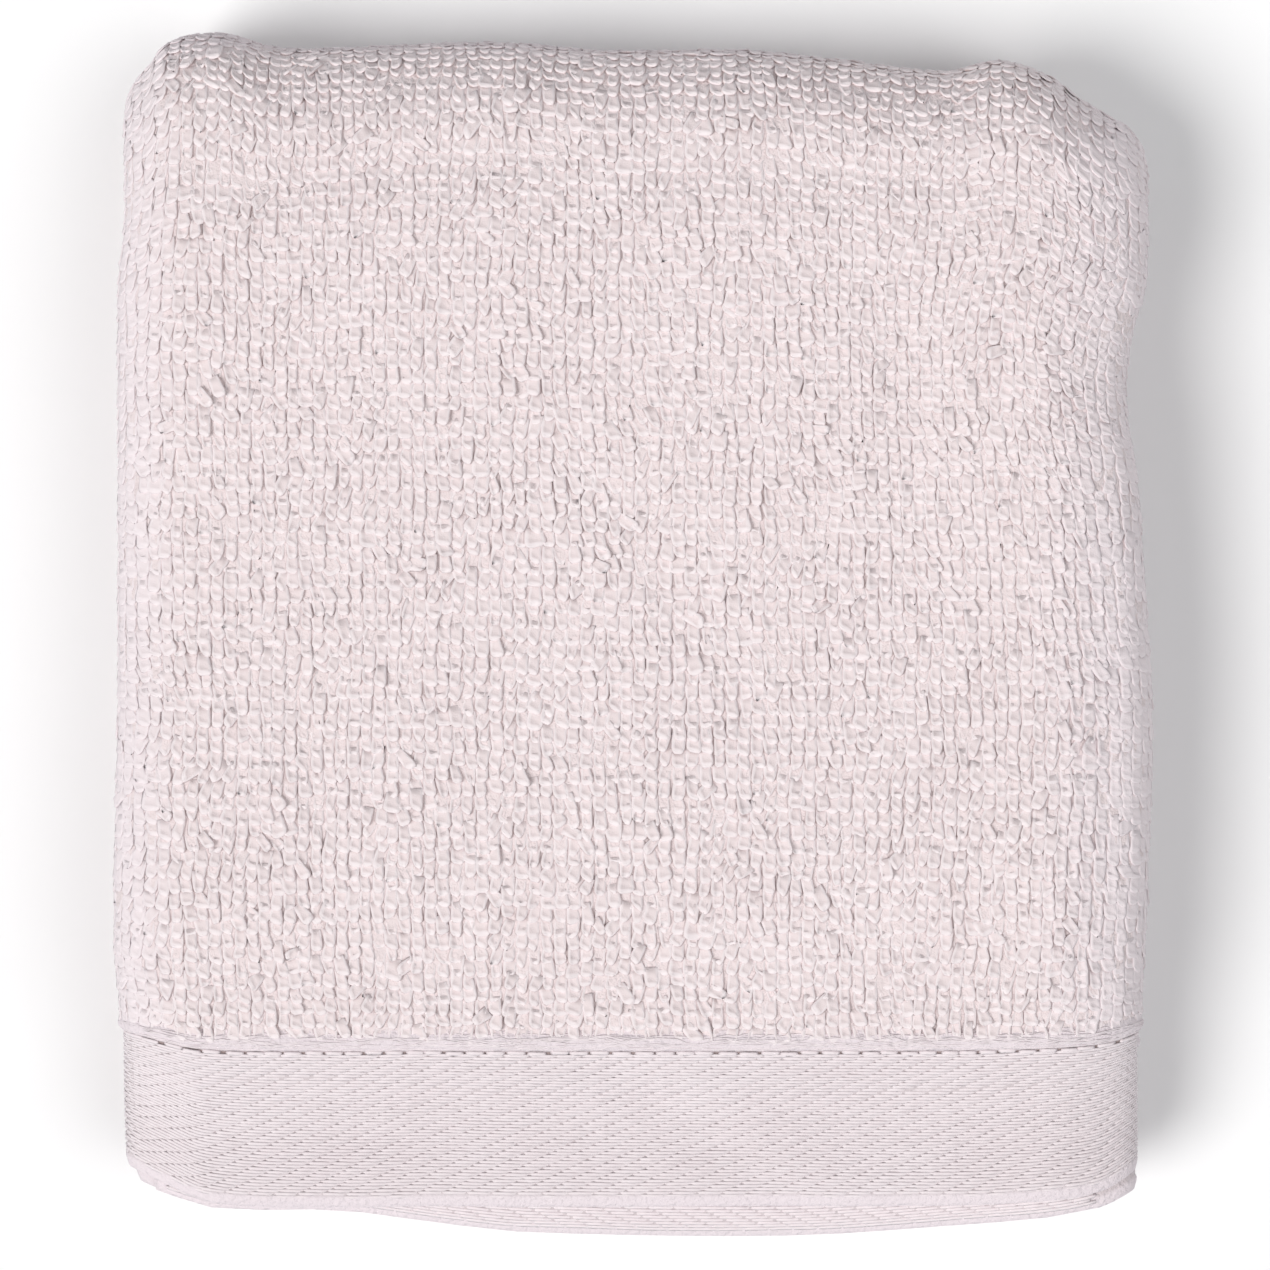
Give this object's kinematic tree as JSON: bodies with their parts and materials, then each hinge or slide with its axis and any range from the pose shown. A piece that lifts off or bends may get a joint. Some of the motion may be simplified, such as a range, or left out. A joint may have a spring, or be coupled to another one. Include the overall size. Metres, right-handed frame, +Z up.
{
  "type": "folded guest towel",
  "caption": "Terry guest towel folded in three across and in four along into a small flat stack, with the flat woven border of each end at the front.",
  "frame": {"origin": "on the surface it lies on, under the middle of the folded towel's box", "axes": "+Z up, +Y along the folded towel away from its border towards the back fold, +X to the right as seen from above with the border nearest"},
  "size_m": [0.1352, 0.1574, 0.0367],
  "materials": {
    "blush_terry": "looped cotton terry with a flat woven border, matt"
  },
  "bodies": {
    "root": {"towel": "blush_terry"}
  },
  "joints": []
}
